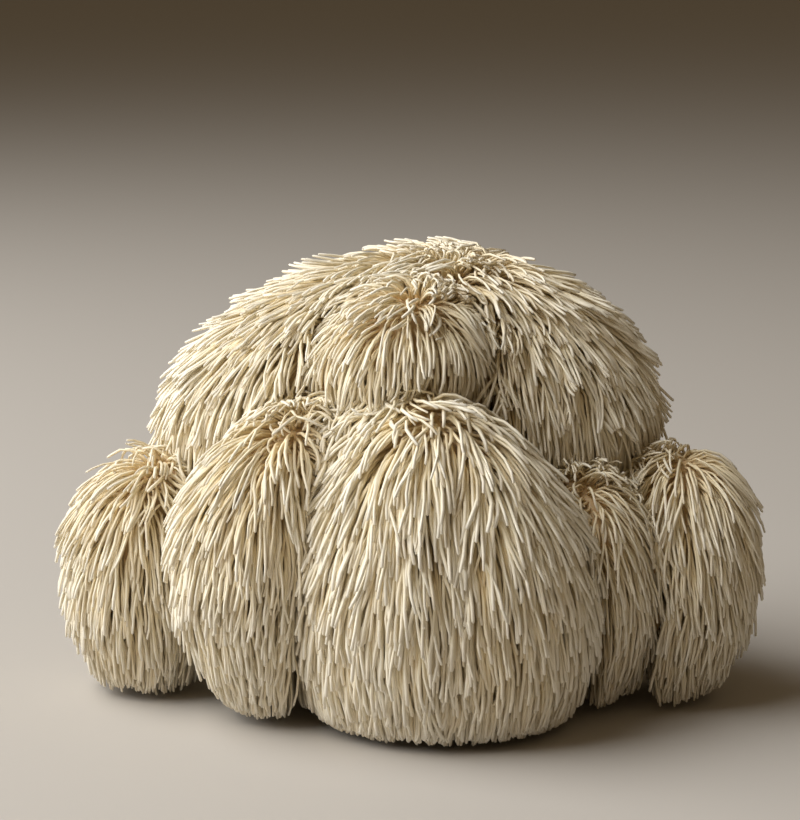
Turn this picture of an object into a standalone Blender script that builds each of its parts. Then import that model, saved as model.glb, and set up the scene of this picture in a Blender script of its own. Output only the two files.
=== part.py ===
"""Lions mane mushroom, a single fruit body that forks into seven rounded lobes.

The fruit body stands upright, as it does on a table after it was cut from its log.  A tall crown
lobe rises at the back and carries the flat harvest cut underneath.  A smaller brow lobe bulges
from its upper front, and five lower lobes hang around its front and sides.  Each solid is the
outer envelope of one lobe, out to where its hanging spines end.  Metres, +Z up, front towards -Y.
"""

import math
from collections import namedtuple

import bmesh
import bpy
from mathutils import Vector

# Driving dimensions of the whole fruit body.
WIDTH = 0.190
DEPTH = 0.142
HEIGHT = 0.1195

# Half sizes of the lobes that set the width and the depth.
FRONT_HALF_DEPTH = 0.036
CROWN_HALF_DEPTH = 0.051
LEFT_HALF_WIDTH = 0.0235
RIGHT_HALF_WIDTH = 0.0250

# Clearance that keeps neighbouring lobes apart where they press together.
GAP = 0.00035

# How far a lobe runs on below the table before it is sliced flat: the hanging lobes only brush
# the table, and the crown lobe has the broad harvest cut.
BRUSH = 0.001
HARVEST_CUT = 0.006

# Mesh density of a lobe; the quarter turns fall on vertices, so each extent is exact.
SEGMENTS = 32
RINGS = 16

# A lobe is a sphere drawn out to its own half width and half depth about (x, y), widest at height
# `waist`.  `shoulder` above 1 points the crown, and `foot` above 2 squares the lower end.  The two
# leans carry the crown and the foot sideways from the waist, as (x, y) offsets.  Each furrow runs
# down the side at a bearing, as (bearing in degrees, depth as a fraction, half width in degrees).
Lobe = namedtuple(
    "Lobe",
    "name x y half_width half_depth bottom waist top shoulder foot crown_lean foot_lean furrows colour",
    defaults=((), (0.80, 0.70, 0.50)),
)

FRONT = Lobe(
    name="front_lobe",
    x=0.0085,
    y=-DEPTH / 2 + FRONT_HALF_DEPTH,
    half_width=0.0405,
    half_depth=FRONT_HALF_DEPTH,
    bottom=-BRUSH,
    waist=0.034,
    top=0.0885,
    shoulder=1.24,
    foot=3.8,
    crown_lean=(-0.003, 0.0),
    foot_lean=(0.0, 0.006),
)

# A low knoll on the front lobe's left shoulder, which is joined to it.
FRONT_KNOLL = Lobe(
    name="front_knoll",
    x=-0.010,
    y=-0.027,
    half_width=0.017,
    half_depth=0.016,
    bottom=0.040,
    waist=0.066,
    top=0.0885,
    shoulder=1.0,
    foot=2.0,
    crown_lean=(0.004, 0.002),
    foot_lean=(0.0, 0.0),
)

FRONT_LEFT = Lobe(
    name="front_left_lobe",
    x=-0.037,
    y=-0.026,
    half_width=0.0275,
    half_depth=0.029,
    bottom=-BRUSH,
    waist=0.042,
    top=0.085,
    shoulder=1.05,
    foot=2.0,
    crown_lean=(0.0095, 0.003),
    foot_lean=(0.004, 0.002),
    colour=(0.81, 0.71, 0.51),
)

FRONT_RIGHT = Lobe(
    name="front_right_lobe",
    x=0.0445,
    y=-0.018,
    half_width=0.0225,
    half_depth=0.026,
    bottom=-BRUSH,
    waist=0.034,
    top=0.068,
    shoulder=1.1,
    foot=2.4,
    crown_lean=(0.001, -0.002),
    foot_lean=(-0.004, 0.006),
    colour=(0.76, 0.66, 0.47),
)

LEFT = Lobe(
    name="left_lobe",
    x=-WIDTH / 2 + LEFT_HALF_WIDTH,
    y=0.002,
    half_width=LEFT_HALF_WIDTH,
    half_depth=0.027,
    bottom=-BRUSH,
    waist=0.034,
    top=0.068,
    shoulder=1.05,
    foot=2.4,
    crown_lean=(0.002, 0.002),
    foot_lean=(0.002, 0.002),
    colour=(0.78, 0.69, 0.50),
)

RIGHT = Lobe(
    name="right_lobe",
    x=WIDTH / 2 - RIGHT_HALF_WIDTH,
    y=-0.004,
    half_width=RIGHT_HALF_WIDTH,
    half_depth=0.028,
    bottom=-BRUSH,
    waist=0.037,
    top=0.0715,
    shoulder=1.1,
    foot=2.4,
    crown_lean=(0.003, 0.002),
    foot_lean=(-0.006, -0.004),
    colour=(0.72, 0.63, 0.45),
)

BROW = Lobe(
    name="brow_lobe",
    x=-0.0025,
    y=-0.014,
    half_width=0.0252,
    half_depth=0.025,
    bottom=0.060,
    waist=0.090,
    top=0.1155,
    shoulder=1.0,
    foot=2.0,
    crown_lean=(0.004, 0.004),
    foot_lean=(0.0, 0.004),
    colour=(0.82, 0.72, 0.52),
)

CROWN = Lobe(
    name="crown_lobe",
    x=0.0,
    y=DEPTH / 2 - CROWN_HALF_DEPTH,
    half_width=0.071,
    half_depth=CROWN_HALF_DEPTH,
    bottom=-HARVEST_CUT,
    waist=0.067,
    top=HEIGHT,
    shoulder=1.0,
    foot=2.4,
    crown_lean=(0.007, 0.0),
    foot_lean=(0.0, 0.0),
    furrows=((60.0, 0.10, 24.0), (122.0, 0.09, 26.0)),
    colour=(0.80, 0.71, 0.53),
)

# From the foremost lobe to the hindmost: each is hollowed by all those before it.
LOBES = (FRONT, FRONT_LEFT, FRONT_RIGHT, LEFT, RIGHT, BROW, CROWN)


def new_collection(name):
    """Link an empty collection of this name to the scene."""
    collection = bpy.data.collections.new(name)
    bpy.context.scene.collection.children.link(collection)
    return collection


def spine_material(lobe):
    """Make the plain matt finish of one lobe's coat of spines."""
    material = bpy.data.materials.new(f"{lobe.name}_spines")
    material.use_nodes = True
    shader = material.node_tree.nodes["Principled BSDF"]
    shader.inputs["Base Color"].default_value = (*lobe.colour, 1.0)
    shader.inputs["Roughness"].default_value = 0.55
    shader.inputs["Metallic"].default_value = 0.0
    return material


def furrow_depth(turn, furrows):
    """Give how deep the furrows are at a bearing in radians, as a fraction of the reach."""
    depth = 0.0
    for bearing, deepest, half_width in furrows:
        away = abs(math.degrees(turn) - bearing) / half_width
        if away < 1.0:
            depth += deepest * math.cos(away * math.pi / 2) ** 2
    return depth


def shape_lobe(point, lobe):
    """Carry a point of the unit sphere to the lobe's surface."""
    turn = math.atan2(point.y, point.x)
    rise = max(-1.0, min(1.0, point.z))
    reach = math.sqrt(1.0 - rise * rise)
    if rise > 0.0:
        lean = lobe.crown_lean
        height = lobe.top - lobe.waist
        reach_out = reach**lobe.shoulder
    else:
        lean = lobe.foot_lean
        height = lobe.waist - lobe.bottom
        rise = -((-rise) ** (2.0 / lobe.foot))
        reach_out = reach ** (2.0 / lobe.foot)
    reach_out *= 1.0 - reach * furrow_depth(turn, lobe.furrows)
    return Vector((
        lobe.x + lobe.half_width * reach_out * math.cos(turn) + lean[0] * rise * rise,
        lobe.y + lobe.half_depth * reach_out * math.sin(turn) + lean[1] * rise * rise,
        lobe.waist + height * rise,
    ))


def slice_foot(shell):
    """Cut the shell off flat at the table and close it there."""
    whole = shell.verts[:] + shell.edges[:] + shell.faces[:]
    bmesh.ops.bisect_plane(
        shell, geom=whole, plane_co=(0.0, 0.0, 0.0), plane_no=(0.0, 0.0, 1.0), clear_inner=True
    )
    rim = [edge for edge in shell.edges if edge.is_boundary]
    bmesh.ops.holes_fill(shell, edges=rim, sides=0)


def add_lobe(lobe, name, collection, grow=0.0):
    """Make one lobe's envelope as a closed mesh object.

    A solid of the fruit body is sliced flat at the table.  One that is grown outwards by `grow`
    is a cutter, and runs on below the table.
    """
    shell = bmesh.new()
    bmesh.ops.create_uvsphere(shell, u_segments=SEGMENTS, v_segments=RINGS, radius=1.0)
    for vertex in shell.verts:
        vertex.co = shape_lobe(vertex.co, lobe)
    if grow:
        shell.normal_update()
        grown = [vertex.co + vertex.normal * grow for vertex in shell.verts]
        for vertex, place in zip(shell.verts, grown):
            vertex.co = place
    elif lobe.bottom < 0.0:
        slice_foot(shell)
    bmesh.ops.recalc_face_normals(shell, faces=shell.faces[:])
    mesh = bpy.data.meshes.new(name)
    shell.to_mesh(mesh)
    shell.free()
    mesh.shade_smooth()
    lobe_object = bpy.data.objects.new(name, mesh)
    collection.objects.link(lobe_object)
    return lobe_object


def add_helper(lobe, name, collection, grow=0.0):
    """Make a lobe's envelope that only cuts or joins, and is no part of the fruit body."""
    helper = add_lobe(lobe, name, collection, grow)
    helper.hide_render = True
    helper.display_type = "WIRE"
    return helper


def combine(target, tool, operation):
    """Cut or join `target` with `tool`."""
    modifier = target.modifiers.new(f"{operation.lower()}_{tool.name}", "BOOLEAN")
    modifier.operation = operation
    modifier.solver = "EXACT"
    modifier.object = tool


def main():
    for old in list(bpy.data.objects):
        bpy.data.objects.remove(old, do_unlink=True)

    fruit_body = new_collection("lions_mane_mushroom")
    helpers = new_collection("cutters")

    cleared = []
    for lobe in LOBES:
        solid = add_lobe(lobe, lobe.name, fruit_body)
        solid.data.materials.append(spine_material(lobe))
        for cutter in cleared:
            combine(solid, cutter, "DIFFERENCE")
        cleared.append(add_helper(lobe, f"clear_{lobe.name}", helpers, GAP))
        if lobe is FRONT:
            combine(solid, add_helper(FRONT_KNOLL, FRONT_KNOLL.name, helpers), "UNION")
            cleared.append(add_helper(FRONT_KNOLL, f"clear_{FRONT_KNOLL.name}", helpers, GAP))


main()
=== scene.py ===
# %% [markdown]
# # A lion's mane mushroom
#
# A lion's mane is one soft fruit body whose whole outside is a coat of hanging spines.  The packed
# frame holds its seven lobes as plain envelopes that reach to the spines' tips.  Around them this
# lesson builds two things for each lobe: the flesh, tan partly as painted warm shade of the gaps,
# which is a copy of the envelope drawn in by the depth of the coat, and the coat itself, thousands
# of noodle-like spines grown one by one.

# %% Load the frame
import math
from collections import namedtuple
import bpy
import numpy as np
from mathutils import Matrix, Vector, noise
from mathutils.bvhtree import BVHTree
from mathutils.kdtree import KDTree


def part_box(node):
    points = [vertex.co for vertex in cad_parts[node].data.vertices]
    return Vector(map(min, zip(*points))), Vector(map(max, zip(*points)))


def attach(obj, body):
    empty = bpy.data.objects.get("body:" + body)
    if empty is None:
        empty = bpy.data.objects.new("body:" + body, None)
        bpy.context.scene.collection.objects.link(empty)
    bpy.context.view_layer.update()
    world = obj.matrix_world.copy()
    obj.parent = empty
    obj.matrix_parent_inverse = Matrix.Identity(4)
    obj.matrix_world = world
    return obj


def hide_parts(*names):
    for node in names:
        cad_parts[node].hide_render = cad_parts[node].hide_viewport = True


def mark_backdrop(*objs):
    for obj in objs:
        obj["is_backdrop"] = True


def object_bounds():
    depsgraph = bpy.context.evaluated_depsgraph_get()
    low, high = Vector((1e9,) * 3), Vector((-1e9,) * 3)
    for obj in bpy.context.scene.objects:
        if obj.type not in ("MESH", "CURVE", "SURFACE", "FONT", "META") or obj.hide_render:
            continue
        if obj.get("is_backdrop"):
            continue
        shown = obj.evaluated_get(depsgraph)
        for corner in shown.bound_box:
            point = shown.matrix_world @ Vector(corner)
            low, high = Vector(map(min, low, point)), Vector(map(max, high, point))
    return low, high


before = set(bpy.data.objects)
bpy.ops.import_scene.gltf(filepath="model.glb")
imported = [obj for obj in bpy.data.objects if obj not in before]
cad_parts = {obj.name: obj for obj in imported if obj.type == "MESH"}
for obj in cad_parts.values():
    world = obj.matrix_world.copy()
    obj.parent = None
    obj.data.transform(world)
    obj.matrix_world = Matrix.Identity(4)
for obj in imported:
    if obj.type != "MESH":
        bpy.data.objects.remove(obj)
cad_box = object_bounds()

MM = 0.001
print("envelope, mm:", [round(side / MM, 1) for side in cad_box[1] - cad_box[0]])

# %% [markdown]
# ## What the lobes have in common, and where they differ
#
# A spine is about a millimetre thick and a couple of centimetres long.  Each lobe has a whorl, the
# spot from which its spines flow outwards and down, as hair does from the crown of a head.  Here a
# whorl is given by where it lies in its lobe's box in plan, from 0 to 1 along X and along Y, with 0
# nearest the front.  Spines at the whorl are short and curly, and lengthen away from it.

# %% Driving values of the coat
SPINE_RADIUS = 0.375 * MM
ROOT_SPACING = 1.20 * MM
GROWTH_STEPS = 14

Coat = namedtuple("Coat", "whorl length stoutness locks flick")
COATS = {
    "front_lobe": Coat(whorl=(0.46, 0.62), length=27 * MM, stoutness=1.36, locks=0.30, flick=0.55),
    "front_left_lobe": Coat(whorl=(0.70, 0.66), length=24 * MM, stoutness=1.16, locks=0.30, flick=0.55),
    "front_right_lobe": Coat(whorl=(0.36, 0.62), length=20 * MM, stoutness=1.02, locks=0.35, flick=0.55),
    "left_lobe": Coat(whorl=(0.80, 0.62), length=20 * MM, stoutness=1.16, locks=0.40, flick=0.75),
    "right_lobe": Coat(whorl=(0.26, 0.68), length=21 * MM, stoutness=1.06, locks=0.40, flick=0.75),
    "brow_lobe": Coat(whorl=(0.62, 0.72), length=18 * MM, stoutness=1.08, locks=0.50, flick=0.75),
    "crown_lobe": Coat(whorl=(0.57, 0.44), length=21 * MM, stoutness=1.16, locks=0.55, flick=0.95),
}
LOBES = list(COATS)
DOWN = np.array([0.0, 0.0, -1.0])
print("lobes:", len(LOBES))


# %% Helpers for selecting and editing
def select_only(piece):
    """Make one object the only selected and the active one."""
    bpy.ops.object.select_all(action="DESELECT")
    piece.select_set(True)
    bpy.context.view_layer.objects.active = piece


def apply_modifier(piece, kind, **settings):
    """Add a modifier, set it up and apply it."""
    select_only(piece)
    modifier = piece.modifiers.new(kind.title(), kind)
    for name, value in settings.items():
        setattr(modifier, name, value)
    bpy.ops.object.modifier_apply(modifier=modifier.name)


def draw_in(piece, depth):
    """Move a piece's vertices in along their normals, each by its own depth."""
    most = float(depth.max())
    group = piece.vertex_groups.new(name="depth")
    for index, share in enumerate(depth / most):
        group.add([index], float(share), "REPLACE")
    apply_modifier(piece, "DISPLACE", mid_level=0.0, strength=-most, vertex_group="depth")
    piece.vertex_groups.remove(piece.vertex_groups["depth"])


def vertex_places(mesh):
    """Give a mesh's vertices as rows of x, y, z."""
    flat = np.empty(len(mesh.vertices) * 3)
    mesh.vertices.foreach_get("co", flat)
    return flat.reshape(-1, 3)


def vertex_normals(mesh):
    """Give a mesh's vertex normals as rows of x, y, z."""
    flat = np.empty(len(mesh.vertices) * 3)
    mesh.vertices.foreach_get("normal", flat)
    return flat.reshape(-1, 3)


def remesh(piece, size):
    """Remesh a piece evenly, with its vertices and faces in an order that every run repeats."""
    apply_modifier(piece, "REMESH", mode="VOXEL", voxel_size=size)
    places = vertex_places(piece.data)
    order = np.lexsort(np.round(places, 7).T)
    rank = np.argsort(order)
    faces = []
    for face in piece.data.polygons:
        corners = [int(rank[corner]) for corner in face.vertices]
        first = corners.index(min(corners))
        faces.append(corners[first:] + corners[:first])
    mesh = bpy.data.meshes.new(piece.name)
    mesh.from_pydata(places[order].tolist(), [], sorted(faces))
    piece.data = mesh


def tree_of(mesh, chosen=None):
    """Make a search tree of a mesh's faces, or of those whose corners are all chosen."""
    corners = [vertex.co for vertex in mesh.vertices]
    faces = [tuple(face.vertices) for face in mesh.polygons]
    if chosen is not None:
        faces = [face for face in faces if all(chosen[corner] for corner in face)]
    return BVHTree.FromPolygons(corners, faces)


def finder_of(places):
    """Make a search tree of places."""
    finder = KDTree(len(places))
    for index, place in enumerate(places):
        finder.insert(place, index)
    finder.balance()
    return finder


def nearest(tree, points):
    """Give the nearest places on a tree's surface, the surface's normals there, and how far."""
    places = np.empty((len(points), 3))
    normals = np.empty((len(points), 3))
    distances = np.empty((len(points), 1))
    for row, point in enumerate(points):
        places[row], normals[row], _, distances[row] = tree.find_nearest(point)
    return places, normals, distances


def unit(vectors):
    """Scale rows to length one."""
    lengths = np.linalg.norm(vectors, axis=-1, keepdims=True)
    return vectors / np.maximum(lengths, 1e-9)


def dot(a, b):
    """Give the dot product of rows, as a column."""
    return np.sum(a * b, axis=-1, keepdims=True)


def smoothstep(value, low, high):
    """Ramp from 0 to 1 as value goes from low to high."""
    t = np.clip((value - low) / (high - low), 0.0, 1.0)
    return t * t * (3.0 - 2.0 * t)


# %% [markdown]
# ## The guide surface of each lobe
#
# Spines need a surface to follow.  A copy of the lobe's envelope, with its doubles merged, is
# remeshed into even small faces and smoothed a little, so that the sharp edges where lobes press
# together become the soft lips of a cleft.  The front lobe's coat also parts down its front, along
# a shallow crease a little right of its middle.

# %% Make the guides
GUIDE_VOXEL = 2.0 * MM
DOUBLES = 0.001 * MM
CREASE_X = 12.0 * MM
CREASE_DEPTH = 2.6 * MM
CREASE_WIDTH = 4.5 * MM
CREASE_FOOT = (4 * MM, 18 * MM)
CREASE_TOP = 80 * MM
CREASE_FADE = 20 * MM


def envelope_copy(node, name):
    """Copy a lobe's envelope to a piece of its own, merged and remeshed."""
    piece = bpy.data.objects.new(name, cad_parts[node].data.copy())
    bpy.context.scene.collection.objects.link(piece)
    piece.data.materials.clear()
    select_only(piece)
    bpy.ops.object.mode_set(mode="EDIT")
    bpy.ops.mesh.select_all(action="SELECT")
    bpy.ops.mesh.remove_doubles(threshold=DOUBLES)
    bpy.ops.object.mode_set(mode="OBJECT")
    remesh(piece, GUIDE_VOXEL)
    apply_modifier(piece, "SMOOTH", factor=0.5, iterations=6)
    return piece


def crease(piece):
    """Press a shallow upright crease in the front of a guide."""
    places = vertex_places(piece.data)
    normals = vertex_normals(piece.data)
    across = np.exp(-(((places[:, 0] - CREASE_X) / CREASE_WIDTH) ** 2))
    foot = smoothstep(places[:, 2], *CREASE_FOOT)
    upright = foot * smoothstep(CREASE_TOP - places[:, 2], 0.0, CREASE_FADE)
    facing = smoothstep(-normals[:, 1], 0.2, 0.6)
    draw_in(piece, CREASE_DEPTH * across * upright * facing)


guides = {lobe: envelope_copy(lobe, f"{lobe}_guide") for lobe in LOBES}
crease(guides["front_lobe"])
guide_trees = {lobe: tree_of(guide.data) for lobe, guide in guides.items()}
print("guide faces:", {lobe: len(guide.data.polygons) for lobe, guide in guides.items()})

# %% [markdown]
# ## The open surface
#
# The lobes are one body that forks, so they press together behind their clefts.  The coat grows
# only towards the open surface: the guides' faces that aren't against another lobe, nor in the
# oval on the table where the mushroom was cut from its wood.

# %% Find the open surface
PRESSED_WITHIN = 1.3 * MM
COAT_DEPTH = 7.5 * MM
CUT_HALF_WIDTH = 30 * MM
CUT_HALF_DEPTH = 21 * MM


def from_cut(places):
    """Give how far out places are from the harvest cut's middle: 1 on its rim."""
    low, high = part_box("crown_lobe")
    middle = 0.5 * (low.y + high.y)
    return np.hypot(places[:, 0] / CUT_HALF_WIDTH, (places[:, 1] - middle) / CUT_HALF_DEPTH)


def open_vertices(lobe):
    """Tell which vertices of a lobe's guide are in the open."""
    others = [tree for other, tree in guide_trees.items() if other != lobe]
    places = vertex_places(guides[lobe].data)
    against = np.array([
        any(tree.find_nearest(place, PRESSED_WITHIN)[0] is not None for tree in others)
        for place in places
    ])
    rim = 1.0 + COAT_DEPTH / CUT_HALF_DEPTH
    cut = (from_cut(places) < rim) & (places[:, 2] < 2 * MM)
    return ~against & ~(cut & (lobe == "crown_lobe"))


in_the_open = {lobe: open_vertices(lobe) for lobe in LOBES}
open_trees = {lobe: tree_of(guides[lobe].data, in_the_open[lobe]) for lobe in LOBES}
print("open share:", {lobe: round(float(in_the_open[lobe].mean()), 2) for lobe in LOBES})

# %% [markdown]
# ## The flesh
#
# The flesh lies a coat's depth under the open surface, and further up underneath, where the spines
# hang long.  Each lobe's flesh is a copy of its guide: its vertices sink away from the nearest open
# surface until they are deep enough, without leaving the lobe, so the flesh of two lobes meets
# behind their cleft with no gap.

# %% Make the flesh
FLESH_VOXEL = 2.5 * MM
SINK_STEP = 0.8 * MM
SINK_TIMES = 14
SUNK_ENOUGH = 0.02 * MM
WALL_GAP = 0.25 * MM
HANG_HEIGHT = 12 * MM


def sunk(lobe, places):
    """Sink places away from the open surface, inside the lobe, to the coat's depth."""
    trees = [open_trees[lobe]] + [tree for other, tree in open_trees.items() if other != lobe]
    shallow = np.arange(len(places))
    for _ in range(SINK_TIMES):
        moved = places[shallow]
        distance = np.full((len(moved), 1), COAT_DEPTH)
        away = np.zeros((len(moved), 3))
        for row, place in enumerate(moved):
            for tree in trees:
                surface, normal, _, far = tree.find_nearest(place, distance[row, 0])
                if surface is not None:
                    distance[row] = far
                    away[row] = place - surface - 0.4 * MM * normal
        step = np.clip(COAT_DEPTH - distance, 0.0, SINK_STEP)
        moved = moved + unit(away) * step
        wall, wall_normal, _ = nearest(guide_trees[lobe], moved)
        proud = dot(moved - wall, wall_normal) + WALL_GAP
        places[shallow] = moved - wall_normal * np.maximum(proud, 0.0)
        shallow = shallow[step[:, 0] > SUNK_ENOUGH]
    return places


def raised(lobe, places):
    """Lift the underside off the table, all but the stalk over the harvest cut."""
    lift = np.full(len(places), HANG_HEIGHT)
    if lobe == "crown_lobe":
        lift *= smoothstep(from_cut(places), 1.0, 1.35)
    lifted = places.copy()
    lifted[:, 2] = np.maximum(places[:, 2], lift + 0.15 * places[:, 2])
    return lifted


def make_flesh(lobe):
    """Sink a copy of the guide to the roots of the spines."""
    piece = guides[lobe].copy()
    piece.data = guides[lobe].data.copy()
    piece.name = f"{lobe}_flesh"
    bpy.context.scene.collection.objects.link(piece)
    remesh(piece, FLESH_VOXEL)
    places = raised(lobe, sunk(lobe, vertex_places(piece.data)))
    piece.data.vertices.foreach_set("co", places.ravel())
    piece.data.update()
    remesh(piece, FLESH_VOXEL)
    apply_modifier(piece, "SMOOTH", factor=0.5, iterations=3)
    piece.data.shade_smooth()
    return piece


flesh = {lobe: make_flesh(lobe) for lobe in LOBES}
print("flesh faces:", {lobe: len(piece.data.polygons) for lobe, piece in flesh.items()})

# %% [markdown]
# ## One spine
#
# A spine is a round noodle of nearly even thickness, a little stouter at its root and blunt at its
# tip.  It is modelled once, straight up, one unit in radius.  Its body runs from 0 to 1 along Z,
# and what lies above 1 is the blunt tip, in radii.  It has few faces, because it is copied
# thousands of times.

# %% Model the spine
SPINE_SIDES = 4
SPINE_BODY = ((0.26, 1.0), (0.48, 1.02), (0.69, 1.0), (0.87, 0.97), (1.0, 0.84))
SPINE_TIP_HEIGHT = 1.8
ROOT_FLARE = 1.2


def model_spine():
    """Extrude a small circle up through the spine's stations and close it at the tip."""
    bpy.ops.object.select_all(action="DESELECT")
    bpy.ops.mesh.primitive_circle_add(
        vertices=SPINE_SIDES, radius=ROOT_FLARE, fill_type="NGON", location=(0, 0, 0)
    )
    piece = bpy.context.active_object
    bpy.ops.object.mode_set(mode="EDIT")
    bpy.ops.mesh.select_all(action="SELECT")
    height, radius = 0.0, ROOT_FLARE
    for next_height, next_radius in SPINE_BODY:
        rise = {"value": (0, 0, next_height - height)}
        bpy.ops.mesh.extrude_region_move(TRANSFORM_OT_translate=rise)
        scale = next_radius / radius
        bpy.ops.transform.resize(value=(scale, scale, 1))
        height, radius = next_height, next_radius
    rise = {"value": (0, 0, SPINE_TIP_HEIGHT - height)}
    bpy.ops.mesh.extrude_region_move(TRANSFORM_OT_translate=rise)
    bpy.ops.mesh.merge(type="CENTER")
    bpy.ops.mesh.select_all(action="SELECT")
    bpy.ops.mesh.normals_make_consistent(inside=False)
    bpy.ops.object.mode_set(mode="OBJECT")
    piece.name = "spine_pattern"
    return piece


spine = model_spine()
spine_places = vertex_places(spine.data)
spine_faces = [tuple(face.vertices) for face in spine.data.polygons]
spine_triangles = sum(len(face) - 2 for face in spine_faces)
print("one spine:", len(spine_places), "vertices,", spine_triangles, "triangles")

# %% [markdown]
# ## Roots
#
# Roots are strewn over the bare part of the flesh with an even but irregular spacing: many places
# are drawn at random, and each is kept only if no root is already too near.  They stand further
# apart underneath, where nobody looks.

# %% Strew the roots
TRIES = 5
BARE_DEPTH = 0.6 * MM
UNDER_SPACING = 1.55
WHORL_SPACING = 0.62
CURLY_REACH = 11 * MM
LIP_REACH = 5 * MM
WHORL_SPREAD = 12 * MM
TUFT_SIZE = 8 * MM
LIP_CURL = 0.35
NOISE_SEED = 1
WHORL_SEED = 50
ROOT_SEED = 10

# Without a seed, noise vectors start from the clock, and every run grows another coat.
noise.seed_set(NOISE_SEED)


def whorl_of(lobe):
    """Find the whorl on top of a lobe's guide, straight above its place in plan."""
    low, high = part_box(lobe)
    across, back = COATS[lobe].whorl
    x = low.x + across * (high.x - low.x)
    y = low.y + back * (high.y - low.y)
    place, _, _, _ = guide_trees[lobe].ray_cast(Vector((x, y, high.z + 10 * MM)), Vector(DOWN))
    return np.array(place)


def noise_rows(places, size, seed):
    """Give soft noise vectors at places, shared by neighbours closer than `size`."""
    shift = Vector((17.0 * seed, 5.0 * seed, 11.0 * seed))
    return np.array([noise.noise_vector(Vector(place) / size + shift) for place in places])


def whorl_shift(lobe, places):
    """Give how far each place's own whorl is from the lobe's, so that tufts part differently."""
    return WHORL_SPREAD * noise_rows(places, TUFT_SIZE, WHORL_SEED + LOBES.index(lobe))


def curly_at(lobe, places):
    """Give how curly the coat is at places: 1 under the whorl and along the top lips of clefts."""
    under_whorl = np.array(tree_of(flesh[lobe].data).find_nearest(whorl_of(lobe))[0])
    away = places - under_whorl
    from_whorl = np.linalg.norm(away, axis=1, keepdims=True)
    from_own = np.linalg.norm(away - whorl_shift(lobe, places), axis=1, keepdims=True)
    from_whorl = np.minimum(from_whorl, from_own)
    shut = finder_of(vertex_places(guides[lobe].data)[~in_the_open[lobe]])
    from_lip = np.array([[shut.find(place)[2]] for place in places])
    _, normal, _ = nearest(open_trees[lobe], places)
    on_top = smoothstep(normal[:, 2:], 0.35, 0.80)
    at_whorl = np.exp(-((from_whorl / CURLY_REACH) ** 2))
    at_lip = LIP_CURL * on_top * np.exp(-((from_lip / LIP_REACH) ** 2))
    return np.maximum(at_whorl, at_lip)


def bare_faces(lobe):
    """Give the corners of the flesh's triangles that the coat grows from."""
    mesh = flesh[lobe].data
    mesh.calc_loop_triangles()
    corners = np.empty(len(mesh.loop_triangles) * 3, int)
    mesh.loop_triangles.foreach_get("vertices", corners)
    triangles = vertex_places(mesh)[corners.reshape(-1, 3)]
    _, _, depth = nearest(guide_trees[lobe], triangles.mean(axis=1))
    return triangles[depth[:, 0] > BARE_DEPTH]


def strew_roots(lobe, spacing, seed):
    """Give roots on the flesh that keep a spacing from each other."""
    rng = np.random.default_rng(seed)
    triangles = bare_faces(lobe)
    across = np.cross(triangles[:, 1] - triangles[:, 0], triangles[:, 2] - triangles[:, 0])
    area = 0.5 * np.linalg.norm(across, axis=1)
    tries = int(TRIES * area.sum() / spacing**2)
    chosen = rng.choice(len(triangles), tries, p=area / area.sum())
    a, b = rng.random((2, tries, 1))
    over = a + b > 1.0
    a, b = np.where(over, 1.0 - a, a), np.where(over, 1.0 - b, b)
    first, second, third = triangles[chosen].transpose(1, 0, 2)
    places = first + a * (second - first) + b * (third - first)
    under = smoothstep(-unit(across[chosen])[:, 2], 0.2, 0.8)
    curly = curly_at(lobe, places)[:, 0]
    wider = 1.0 + (UNDER_SPACING - 1.0) * under
    apart = spacing * wider * (1.0 + (WHORL_SPACING - 1.0) * curly)
    cells = {}
    kept = []
    steps = [(x, y, z) for x in (-1, 0, 1) for y in (-1, 0, 1) for z in (-1, 0, 1)]
    widest = spacing * UNDER_SPACING
    for place, gap in zip(places.tolist(), apart.tolist()):
        i, j, k = (math.floor(side / widest) for side in place)
        near = (cells.get((i + x, j + y, k + z), ()) for x, y, z in steps)
        if all(math.dist(place, other) >= gap for cell in near for other in cell):
            cells.setdefault((i, j, k), []).append(place)
            kept.append(place)
    return np.array(kept), area.sum()


roots = {}
for number, lobe in enumerate(LOBES):
    roots[lobe], bare_area = strew_roots(lobe, ROOT_SPACING, ROOT_SEED + number)
    print(lobe, "has", len(roots[lobe]), "roots on", round(bare_area / MM**2), "mm2 of bare flesh")
print("roots in all:", sum(map(len, roots.values())))

# %% [markdown]
# ## How a spine grows
#
# A spine leaves the flesh slanting outwards, then bends over and runs with the flow of the coat,
# away from the whorl and down, while it climbs towards the envelope that its tip reaches.  Below
# the lobe's waist it lets go of the surface and hangs.  At the whorl the spines are short, stand
# up and curl over, each its own way.  About a third are the overcoat, which lies nearer the surface
# and flicks its tips up, and the rest lie under it.  Each tuft flows from a whorl a little off the
# lobe's own, so that no single spot shows as a star.

# %% Grow the spines
WHORL_REACH = 11 * MM
LOCK_SIZE = 13 * MM
LOCK_SWAY = 0.24
WANDER = 0.08
WAVE = 0.40
CURL = 0.16
STIFFNESS = 0.60
OVERCOAT = 0.34
OVER_DEPTH = (1.1 * MM, 2.8 * MM)
UNDER_DEPTH = (2.6 * MM, 4.8 * MM)
FLICK_FROM = 0.68
OVERHANG = 3.0 * MM
STOPPED = 0.6
PROUD = 1.5 * MM
FRINGE = (0.3 * MM, 4.5 * MM)
OVER_LENGTH = (0.9, 1.25)
UNDER_LENGTH = (0.75, 1.1)
BOX_MARGIN = 0.7 * MM
ROOT_BURIED = 0.8
GROWTH_SEED = 40


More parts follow.
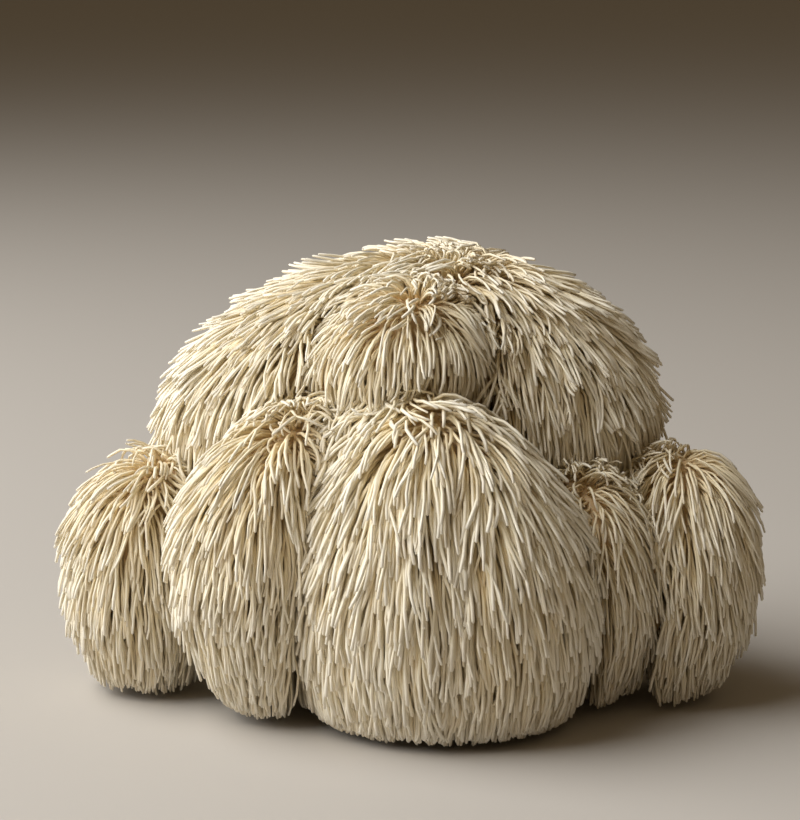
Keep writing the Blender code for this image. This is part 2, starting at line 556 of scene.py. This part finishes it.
def flow_at(places, normals, whorl):
    """Give the way the coat is combed: away from the whorl near it, and down further off."""
    away = places - whorl
    distance = np.linalg.norm(away, axis=1, keepdims=True)
    outwards = unit(away - normals * dot(away, normals))
    slope = DOWN - normals * dot(normals, DOWN[None, :])
    near = np.exp(-((distance / WHORL_REACH) ** 2))
    return unit(outwards * (0.08 + 0.9 * near) + slope * (1.0 - 0.5 * near))


def draw_by_layer(rng, over, upper, lower):
    """Draw a value for each spine: from one range in the overcoat, from another under it."""
    return np.where(over, rng.uniform(*upper, over.shape), rng.uniform(*lower, over.shape))


def grow_spines(lobe, seed):
    """Give each spine's path, its radius, and whether it is in the overcoat.

    A path is GROWTH_STEPS + 1 places, from the root to the tip.
    """
    rng = np.random.default_rng(seed)
    coat = COATS[lobe]
    tree = open_trees[lobe]
    start = roots[lobe]
    count = len(start)
    whorl = whorl_of(lobe) + whorl_shift(lobe, start)
    curly = curly_at(lobe, start)
    _, flesh_normals, _ = nearest(tree_of(flesh[lobe].data), start)

    over = rng.random((count, 1)) < OVERCOAT
    length = coat.length * (1.0 - 0.45 * curly)
    length = length * draw_by_layer(rng, over, OVER_LENGTH, UNDER_LENGTH)
    room = np.maximum(start[:, 2:] - rng.uniform(*FRINGE, (count, 1)), 3 * MM)
    step = np.minimum(length, 1.04 * room) / GROWTH_STEPS
    lie_depth = draw_by_layer(rng, over, OVER_DEPTH, UNDER_DEPTH)
    lie_depth = lie_depth * (1.0 - 0.5 * curly)
    flick = np.where(over, coat.flick * rng.uniform(0.3, 1.5, (count, 1)), 0.1)
    sway = LOCK_SWAY * noise_rows(start, LOCK_SIZE, seed)
    sway = sway + WANDER * rng.normal(size=(count, 3))
    own_way = unit(rng.normal(size=(count, 3)))
    phase = rng.uniform(0.0, 2 * math.pi, (count, 1))
    pitch = rng.uniform(2.0, 4.5, (count, 1)) * math.pi
    curl_axis = unit(rng.normal(size=(count, 3)))
    curl = CURL * rng.normal(size=(count, 1)) * (0.25 + 1.6 * curly)

    low = np.array(cad_box[0]) + BOX_MARGIN
    high = np.array(cad_box[1]) - BOX_MARGIN
    place = start - flesh_normals * ROOT_BURIED * MM
    path = [place]
    surface, normal, _ = nearest(tree, place)
    heading = unit((0.7 + 2.5 * curly) * flesh_normals + flow_at(surface, normal, whorl) + sway)
    for number in range(1, GROWTH_STEPS + 1):
        share = number / GROWTH_STEPS
        depth = dot(surface - place, normal)
        flow = flow_at(surface, normal, whorl)
        across = own_way - normal * dot(own_way, normal)
        flow = unit(flow * (1.0 - 0.85 * curly) + sway + 1.1 * curly * across)
        hang = smoothstep(-normal[:, 2:], 0.25, 0.90)
        wanted = unit(flow * (1.0 - hang) + (DOWN + 0.6 * sway) * hang)
        rise = np.clip(share * (1.25 + 0.9 * curly), 0.0, 1.0)
        target = COAT_DEPTH + (lie_depth - COAT_DEPTH) * rise
        climb = np.clip((depth - target) / step, -0.6, 0.7 + 1.8 * curly)
        climb = climb + flick * smoothstep(share, FLICK_FROM, 0.95)
        wave = unit(np.cross(normal, flow)) * WAVE * np.sin(phase + pitch * share)
        wanted = unit(wanted + normal * climb * (1.0 - hang) + wave)
        turned = heading + np.cross(curl_axis, heading) * curl
        heading = unit(turned * STIFFNESS + wanted * (1.0 - STIFFNESS))
        place = place + heading * step
        wall, wall_normal, wall_far = nearest(guide_trees[lobe], place)
        surface, normal, open_far = nearest(tree, place)
        tip_proud = PROUD * smoothstep(share, 0.65, 1.0) - SPINE_RADIUS
        allowed = np.where(open_far > wall_far + 0.1 * MM, OVERHANG, tip_proud)
        proud = np.maximum(dot(place - wall, wall_normal) - allowed, 0.0)
        place = place - wall_normal * proud
        step = np.where((proud > 0.0) & (hang > 0.40), STOPPED * step, step)
        outwards = np.maximum(dot(heading, wall_normal), 0.0) * (proud > 0.0)
        heading = unit(heading - wall_normal * outwards)
        place = np.clip(place, low, high)
        path.append(place)
    radius = SPINE_RADIUS * coat.stoutness * rng.uniform(0.78, 1.18, (count, 1))
    radius = radius * (1.0 - 0.15 * curly)
    return np.stack(path, axis=1), radius[:, 0], over[:, 0]


# %% [markdown]
# ## Locks
#
# Neighbouring spines cling together, so the coat parts into small pointed locks.  Each spine is
# drawn, more and more towards its tip, to the spine that leads its lock.

# %% Gather the spines into locks
LOCK_SPACING = 3.6 * MM
LOCK_SEED = 70


def gather_locks(path, pull, seed):
    """Draw every spine's outer part towards its lock's leading spine."""
    rng = np.random.default_rng(seed)
    order = rng.permutation(len(path))
    leaders = []
    for index in order:
        place = path[index, 0]
        if all(math.dist(place, path[leader, 0]) > LOCK_SPACING for leader in leaders):
            leaders.append(int(index))
    ragged = path[:, 0] + rng.normal(size=(len(path), 3)) * 0.9 * MM
    finder = finder_of(path[leaders, 0])
    lock = np.array([finder.find(place)[1] for place in ragged])
    strength = pull * rng.uniform(0.4, 1.5, len(leaders))[lock]
    share = np.linspace(0.0, 1.0, path.shape[1]) ** 1.4
    amount = np.clip(strength[:, None] * share[None, :], 0.0, 0.85)[:, :, None]
    leading = path[np.array(leaders)[lock]]
    return path + (leading - path) * amount


paths = {}
for number, lobe in enumerate(LOBES):
    path, radius, over = grow_spines(lobe, GROWTH_SEED + number)
    paths[lobe] = gather_locks(path, COATS[lobe].locks, LOCK_SEED + number), radius, over
print("spines grown:", sum(len(path) for path, _, _ in paths.values()))

# %% [markdown]
# ## Copying the spine along the paths
#
# The pattern spine is bent along every path with arrays, which is far quicker than thousands of
# objects, and the copies are joined in one mesh.  Each copy carries a map of its own: its height is
# how far along the spine a point is, and its width is the spine's tone, with the undercoat's painted
# warm shade, so that the finish can darken roots, partly as painted shade, and let neighbours differ.

# %% Build coats from paths
MAP_NAME = "OFBake"
TONE_WIDTH = 0.012
PATCH_SIZE = 24 * MM
PATCH_SEED = 3
# Tones of the two layers: the undercoat's more golden tone is painted warm shade for the gaps under the
# overcoat.
OVER_TONE = 0.25
UNDER_SHADE_TONE = 0.62


def along_paths(paths_in, share):
    """Read places at a share from 0 to 1 along every path."""
    position = share * (paths_in.shape[1] - 1)
    index = min(int(position), paths_in.shape[1] - 2)
    rest = position - index
    return paths_in[:, index] * (1.0 - rest) + paths_in[:, index + 1] * rest


def smooth_paths(paths_in):
    """Even out the kinks between growth steps."""
    for _ in range(4):
        inner = 0.25 * paths_in[:, :-2] + 0.5 * paths_in[:, 1:-1] + 0.25 * paths_in[:, 2:]
        paths_in = np.concatenate([paths_in[:, :1], inner, paths_in[:, -1:]], axis=1)
    return paths_in


def bend_spines(paths_in, radius):
    """Place the pattern's vertices along each path, as rows for each spine."""
    heights = sorted({round(float(z), 4) for z in spine_places[:, 2]})
    side = unit(np.cross(paths_in[:, 1] - paths_in[:, 0], [0.31, 0.93, 0.17]))
    bent = np.empty((len(paths_in), len(spine_places), 3))
    for height in heights:
        share = min(height, 1.0)
        beyond = max(height - 1.0, 0.0)
        centre = along_paths(paths_in, share)
        ahead = along_paths(paths_in, min(share + 0.06, 1.0))
        tangent = unit(ahead - along_paths(paths_in, max(share - 0.06, 0.0)))
        side = unit(side - tangent * dot(side, tangent))
        other = np.cross(tangent, side)
        centre = centre + tangent * (beyond * radius)[:, None]
        for row in np.nonzero(np.abs(spine_places[:, 2] - height) < 1e-3)[0]:
            x, y, _ = spine_places[row]
            bent[:, row] = centre + (side * x + other * y) * radius[:, None]
    return bent


def spine_map(tone_and_shade):
    """Give the map of every corner of every spine: tone with painted shade across, and place along the
    spine up.
    """
    corners = np.array([corner for face in spine_faces for corner in face])
    height = spine_places[corners, 2]
    beyond = np.maximum(height - 1.0, 0.0) / (SPINE_TIP_HEIGHT - 1.0)
    along = 0.94 * np.minimum(height, 1.0) + 0.06 * beyond
    around = []
    for face in spine_faces:
        angles = [math.atan2(spine_places[c, 1], spine_places[c, 0]) / (2 * math.pi) for c in face]
        if max(angles) - min(angles) > 0.5:
            angles = [angle + 1.0 if angle < 0.0 else angle for angle in angles]
        if len(face) == 3:
            middle = 0.5 * (max(angles) + min(angles))
            tip = [spine_places[c, 2] > 1.5 for c in face]
            angles = [middle if at_tip else angle for angle, at_tip in zip(angles, tip)]
        around.extend(angles)
    around = np.array(around)
    low_faces = [max(spine_places[c, 2] for c in face) < 0.01 for face in spine_faces]
    root_cap = np.concatenate([np.full(len(face), low) for face, low in zip(spine_faces, low_faces)])
    turn = 2 * math.pi * around
    along = np.where(root_cap, 0.004 + 0.004 * np.sin(turn), along)
    around = np.where(root_cap, 0.25 * np.cos(turn), around)
    across = tone_and_shade[:, None] + TONE_WIDTH * around[None, :]
    return np.stack([np.clip(across, 0.0, 1.0), np.broadcast_to(along, across.shape)], axis=2)


def coat_mesh(name, paths_in, radius, tone_and_shade):
    """Join bent copies of the spine in one mesh with its map."""
    bent = bend_spines(smooth_paths(paths_in), radius)
    count, each = bent.shape[:2]
    mesh = bpy.data.meshes.new(name)
    corners = np.array([corner for face in spine_faces for corner in face])
    sizes = np.array([len(face) for face in spine_faces])
    mesh.vertices.add(count * each)
    mesh.vertices.foreach_set("co", bent.ravel())
    mesh.loops.add(count * len(corners))
    all_corners = corners[None, :] + each * np.arange(count)[:, None]
    mesh.loops.foreach_set("vertex_index", all_corners.ravel())
    mesh.polygons.add(count * len(sizes))
    starts = np.concatenate([[0], np.cumsum(sizes)[:-1]])
    all_starts = starts[None, :] + len(corners) * np.arange(count)[:, None]
    mesh.polygons.foreach_set("loop_start", all_starts.ravel())
    layer = mesh.uv_layers.new(name=MAP_NAME)
    layer.uv.foreach_set("vector", spine_map(tone_and_shade).ravel())
    mesh.update(calc_edges=True)
    mesh.validate()
    mesh.shade_smooth()
    return mesh


def tones_and_shade(path, over):
    """Give each spine a tone from 0, pale, to 1, golden: tones differ at random, and the undercoat is
    painted more golden, as warm shade in the gaps.
    """
    rng = np.random.default_rng(len(path))
    patch = noise_rows(path[:, 0], PATCH_SIZE, PATCH_SEED)[:, 0]
    own = 0.14 * rng.normal(size=len(path))
    # The undercoat's higher tone is painted warm shade; the patch and own terms are tone that differs at
    # random.
    return np.clip(np.where(over, OVER_TONE, UNDER_SHADE_TONE) + 0.3 * patch + own, 0.03, 0.97)


MOST_SPINES = 4200


def make_coats(lobe):
    """Make a lobe's coat, in as many pieces as keep each one light."""
    path, radius, over = paths[lobe]
    tone_and_shade = tones_and_shade(path, over)
    pieces = -(-len(path) // MOST_SPINES)
    sector = np.zeros(len(path), int)
    if pieces > 1:
        bearing = np.arctan2(path[:, 0, 1] - path[:, 0, 1].mean(), path[:, 0, 0])
        order = np.argsort(np.argsort(bearing))
        sector = order * pieces // len(path)
    coats = []
    for number in range(pieces):
        chosen = sector == number
        name = f"{lobe}_spines" if pieces == 1 else f"{lobe}_spines_{number + 1}"
        mesh = coat_mesh(name, path[chosen], radius[chosen], tone_and_shade[chosen])
        coat = bpy.data.objects.new(name, mesh)
        bpy.context.scene.collection.objects.link(coat)
        coats.append(coat)
    return coats


coats = {lobe: make_coats(lobe) for lobe in LOBES}
print("coats:", {coat.name: len(coat.data.polygons) for row in coats.values() for coat in row})
for helper in [spine, *guides.values()]:
    bpy.data.objects.remove(helper)


# %% [markdown]
# ## Shader maths as plain expressions
#
# The finishes below are sums and products of patterns.  This small class wraps a node's output, so
# that an expression on it adds the Math nodes that it needs.

# %% A class that wraps a socket
class Value:
    """A number in a shader, with the arithmetic that the finishes use."""

    def __init__(self, nodes, socket):
        self.nodes = nodes
        self.socket = socket

    def _math(self, operation, a, b):
        node = self.nodes.node("ShaderNodeMath", {"operation": operation}, {0: a, 1: b})
        return Value(self.nodes, node.outputs[0])

    def __add__(self, other):
        return self._math("ADD", self, other)

    def __radd__(self, other):
        return self._math("ADD", other, self)

    def __sub__(self, other):
        return self._math("SUBTRACT", self, other)

    def __rsub__(self, other):
        return self._math("SUBTRACT", other, self)

    def __mul__(self, other):
        return self._math("MULTIPLY", self, other)

    def __rmul__(self, other):
        return self._math("MULTIPLY", other, self)


class Finish:
    """A material's nodes, with one method that adds any node."""

    def __init__(self, name):
        self.material = bpy.data.materials.new(name)
        self.material.use_nodes = True
        self.tree = self.material.node_tree
        self.shader = self.tree.nodes["Principled BSDF"]

    def node(self, kind, settings, inputs):
        """Add a node: its settings are set first, then its sockets get values or links."""
        node = self.tree.nodes.new(kind)
        for name, value in settings.items():
            if name == "stops":
                self.set_stops(node.color_ramp, value)
            else:
                setattr(node, name, value)
        for key, value in inputs.items():
            self.feed(node.inputs[key], value)
        return node

    def set_stops(self, ramp, stops):
        """Set a colour ramp's stops, as (place, colour)."""
        while len(ramp.elements) < len(stops):
            ramp.elements.new(1.0)
        for element, (place, colour) in zip(ramp.elements, stops):
            element.position = place
            element.color = (*colour, 1.0)

    def feed(self, socket, value):
        """Give a socket a value or a link."""
        if isinstance(value, Value):
            value = value.socket
        if isinstance(value, bpy.types.NodeSocket):
            self.tree.links.new(value, socket)
        else:
            socket.default_value = value

    def value(self, node, output=0):
        """Wrap one of a node's outputs, for use in expressions."""
        return Value(self, node.outputs[output])

    def mix(self, share, a, b):
        """Mix two colours and give the result's socket."""
        node = self.node("ShaderNodeMix", {"data_type": "RGBA"}, {0: share, 6: a, 7: b})
        return node.outputs[2]

    def set(self, **inputs):
        """Set the shader's sockets, named with underscores for spaces."""
        for name, value in inputs.items():
            self.feed(self.shader.inputs[name.replace("_", " ")], value)


# %% [markdown]
# ## The spines' finish
#
# Spines are ivory at their tips and cream along their length.  The tan towards their roots is partly
# their own colour and partly painted warm shade and glow in the gaps, and the undercoat is painted
# more golden, as warm shade.  They are opaque.  The finish reads the spines' own map, so it
# follows every spine however it bends.

# %% Finish the spines
# TAN and STRAW at the roots are partly the spines' own colour and partly painted warm shade and glow in
# the gaps; GOLD is mostly painted warm shade for the undercoat.
IVORY = (0.94, 0.885, 0.75)
CREAM = (0.93, 0.835, 0.61)
STRAW = (0.90, 0.75, 0.48)
TAN = (0.80, 0.59, 0.32)
GOLD = (0.89, 0.72, 0.43)
SPINE_ROUGHNESS = 0.52


def spine_finish():
    """Colour spines from root to tip, each in its own tone, with painted warm shade at the roots and in
    the undercoat.
    """
    finish = Finish("lions_mane_spines")
    place = finish.node("ShaderNodeUVMap", {"uv_map": MAP_NAME}, {})
    parts = finish.node("ShaderNodeSeparateXYZ", {}, {0: place.outputs[0]})
    tone_and_shade = finish.value(parts, 0)
    along = finish.value(parts, 1)
    # Root to tip: the tan and straw at the roots are partly painted warm shade and glow of the gaps.
    length = finish.node(
        "ShaderNodeValToRGB",
        {"stops": ((0.0, TAN), (0.16, STRAW), (0.45, CREAM), (0.90, IVORY))},
        {0: along},
    )
    # The gold mix paints warm shade, most on the undercoat and towards the roots.
    warm = finish.mix(0.75 * tone_and_shade * (1.0 - 0.45 * along), length.outputs[0], (*GOLD, 1.0))
    finish.set(
        Base_Color=warm,
        Roughness=SPINE_ROUGHNESS + 0.12 * tone_and_shade - 0.06 * along,
        Specular_IOR_Level=0.32,
    )
    return finish.material


spines_material = spine_finish()
print("finish:", spines_material.name)

# %% [markdown]
# ## The flesh's finish
#
# Between the spines shows moist flesh, mottled and finely pitted; its tan is partly painted warm
# shade and glow of the gaps between spines.  Its patterns read Object coordinates, in metres, so
# their scale is the real one.

# %% Finish the flesh
# Flesh colours: the mottle differs at random, and the tan of both is partly painted warm shade of the
# gaps.
FLESH_DARK = (0.50, 0.32, 0.14)
FLESH_PALE = (0.72, 0.54, 0.30)


def flesh_finish():
    """Shade the flesh with soft mottling and fine pits."""
    finish = Finish("lions_mane_flesh")
    place = finish.node("ShaderNodeTexCoord", {}, {}).outputs["Object"]
    mottle = finish.node(
        "ShaderNodeTexNoise", {}, {"Vector": place, "Scale": 220.0, "Detail": 4.0}
    )
    pits = finish.node("ShaderNodeTexVoronoi", {}, {"Vector": place, "Scale": 450.0})
    shade = finish.value(mottle)
    colour = finish.mix(shade, (*FLESH_DARK, 1.0), (*FLESH_PALE, 1.0))
    bump = finish.node(
        "ShaderNodeBump",
        {},
        {"Strength": 0.6, "Distance": 0.5 * MM, "Height": finish.value(pits) + 0.5 * shade},
    )
    finish.set(
        Base_Color=colour,
        Roughness=0.62 - 0.15 * shade,
        Normal=bump.outputs[0],
        Subsurface_Weight=0.15,
        Subsurface_Radius=(1.0, 0.55, 0.25),
        Subsurface_Scale=1.5 * MM,
    )
    return finish.material


flesh_material = flesh_finish()
print("finish:", flesh_material.name)

# %% [markdown]
# ## Attach the pieces to the frame
#
# There are no joints, so every piece rides on the one body, and the flesh and coat of a lobe stand
# for its envelope.

# %% Ride, replace and fill the material slots
for lobe in LOBES:
    for coat in coats[lobe]:
        coat.data.materials.append(spines_material)
        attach(coat, "root")
        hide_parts(lobe)
    flesh[lobe].data.materials.append(flesh_material)
    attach(flesh[lobe], "root")
    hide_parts(lobe)
print("pieces:", sum(len(row) for row in coats.values()) + len(flesh))

# %% [markdown]
# ## Floor, light and camera
#
# A plain pale floor runs far back to a dim warm surround.  The light is a large soft source from
# the upper left and a weak warm fill from the front, so the object turns from light to shade.

# %% Floor
FLOOR_SIZE = 30.0
FLOOR_COLOUR = (0.52, 0.48, 0.425, 1.0)


def make_floor():
    """Lay a broad pale floor."""
    bpy.ops.object.select_all(action="DESELECT")
    bpy.ops.mesh.primitive_plane_add(size=FLOOR_SIZE, location=(0, 0, 0))
    floor = bpy.context.active_object
    floor.name = "floor"
    finish = Finish("pale_floor")
    finish.set(Base_Color=FLOOR_COLOUR, Roughness=0.7)
    floor.data.materials.append(finish.material)
    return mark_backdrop(floor)


floor = make_floor()


# %% Lights
def soft_light(name, place, size, watts, colour):
    """Add a square soft light that faces the middle of the object."""
    data = bpy.data.lights.new(name, "AREA")
    data.size = size
    data.energy = watts
    data.color = colour
    light = bpy.data.objects.new(name, data)
    light.location = place
    to_object = Vector((0, 0, 0.06)) - Vector(place)
    light.rotation_euler = to_object.to_track_quat("-Z", "Y").to_euler()
    bpy.context.scene.collection.objects.link(light)


soft_light("key_light", (-1.0, -0.08, 0.98), size=1.6, watts=37.5, colour=(0.96, 0.975, 1.0))
soft_light("fill_light", (-0.25, -1.0, 0.45), size=0.8, watts=0.3, colour=(1.0, 0.76, 0.5))

world = bpy.data.worlds.new("studio")
world.use_nodes = True
world.node_tree.nodes["Background"].inputs[0].default_value = (1.0, 0.76, 0.48, 1.0)
world.node_tree.nodes["Background"].inputs[1].default_value = 0.115
bpy.context.scene.world = world
bpy.context.scene.view_settings.view_transform = "Standard"

# %% Camera
CAMERA_DISTANCE = 0.75
CAMERA_ELEVATION = math.radians(10)
CAMERA_AIM = Vector((-0.0027, 0.0, 0.0760))
CAMERA_LENS = 125.0


def make_camera():
    """Set a long lens in front of the object, a little above it."""
    data = bpy.data.cameras.new("camera")
    data.lens = CAMERA_LENS
    data.clip_start = 0.01
    camera = bpy.data.objects.new("camera", data)
    back = Vector((0.0, -math.cos(CAMERA_ELEVATION), math.sin(CAMERA_ELEVATION)))
    camera.location = CAMERA_AIM + back * CAMERA_DISTANCE
    camera.rotation_euler = (math.pi / 2 - CAMERA_ELEVATION, 0.0, 0.0)
    bpy.context.scene.collection.objects.link(camera)
    bpy.context.scene.camera = camera


make_camera()
